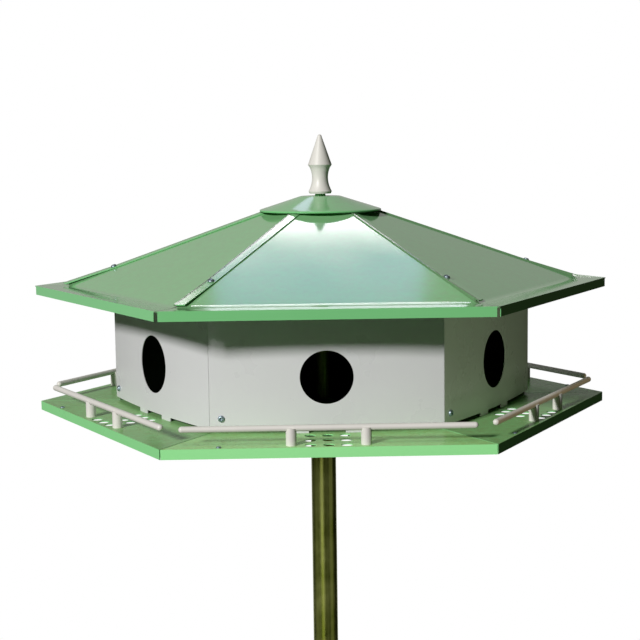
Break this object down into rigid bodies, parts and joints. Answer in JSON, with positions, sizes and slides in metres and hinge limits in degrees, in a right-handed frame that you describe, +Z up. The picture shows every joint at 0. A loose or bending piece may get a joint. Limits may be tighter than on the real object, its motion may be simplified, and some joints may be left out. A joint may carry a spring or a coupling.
{
  "type": "pole-mounted martin birdhouse",
  "caption": "Hexagonal sheet-metal martin birdhouse on a steel pole: round entrance in each wall, porch with perch rails all round, low hipped roof with wide eaves, round cap and spire finial.",
  "frame": {"origin": "centre of the flat foot of the pole, on the ground", "axes": "+Z up along the pole; -Y is the house's front, +X its right side seen from the front"},
  "size_m": [0.6518, 0.5646, 1.6065],
  "materials": {
    "green_enamel": "gloss",
    "white_enamel": "satin",
    "dark_enamel": "matt",
    "white_plastic": "moulded satin",
    "pole_steel": "plated, dulled",
    "zinc_plate": "bright zinc"
  },
  "bodies": {
    "root": {"pole": "pole_steel", "pole_foot_plug": "zinc_plate", "pole_flange": "zinc_plate", "front_floor_panel": "green_enamel", "front_right_floor_panel": "green_enamel", "back_right_floor_panel": "green_enamel", "back_floor_panel": "green_enamel", "back_left_floor_panel": "green_enamel", "front_left_floor_panel": "green_enamel", "front_wall": "white_enamel", "front_right_wall": "white_enamel", "back_right_wall": "white_enamel", "back_wall": "white_enamel", "back_left_wall": "white_enamel", "front_left_wall": "white_enamel", "front_right_divider": "dark_enamel", "right_divider": "dark_enamel", "back_right_divider": "dark_enamel", "back_left_divider": "dark_enamel", "left_divider": "dark_enamel", "front_left_divider": "dark_enamel", "front_roof_panel": "green_enamel", "front_right_roof_panel": "green_enamel", "back_right_roof_panel": "green_enamel", "back_roof_panel": "green_enamel", "back_left_roof_panel": "green_enamel", "front_left_roof_panel": "green_enamel", "front_rail": "white_plastic", "front_right_rail": "white_plastic", "back_right_rail": "white_plastic", "back_rail": "white_plastic", "back_left_rail": "white_plastic", "front_left_rail": "white_plastic", "front_rail_posts": "white_plastic", "front_right_rail_posts": "white_plastic", "back_right_rail_posts": "white_plastic", "back_rail_posts": "white_plastic", "back_left_rail_posts": "white_plastic", "front_left_rail_posts": "white_plastic", "roof_cap": "green_enamel", "cap_stud": "zinc_plate", "finial": "white_plastic"}
  },
  "joints": []
}
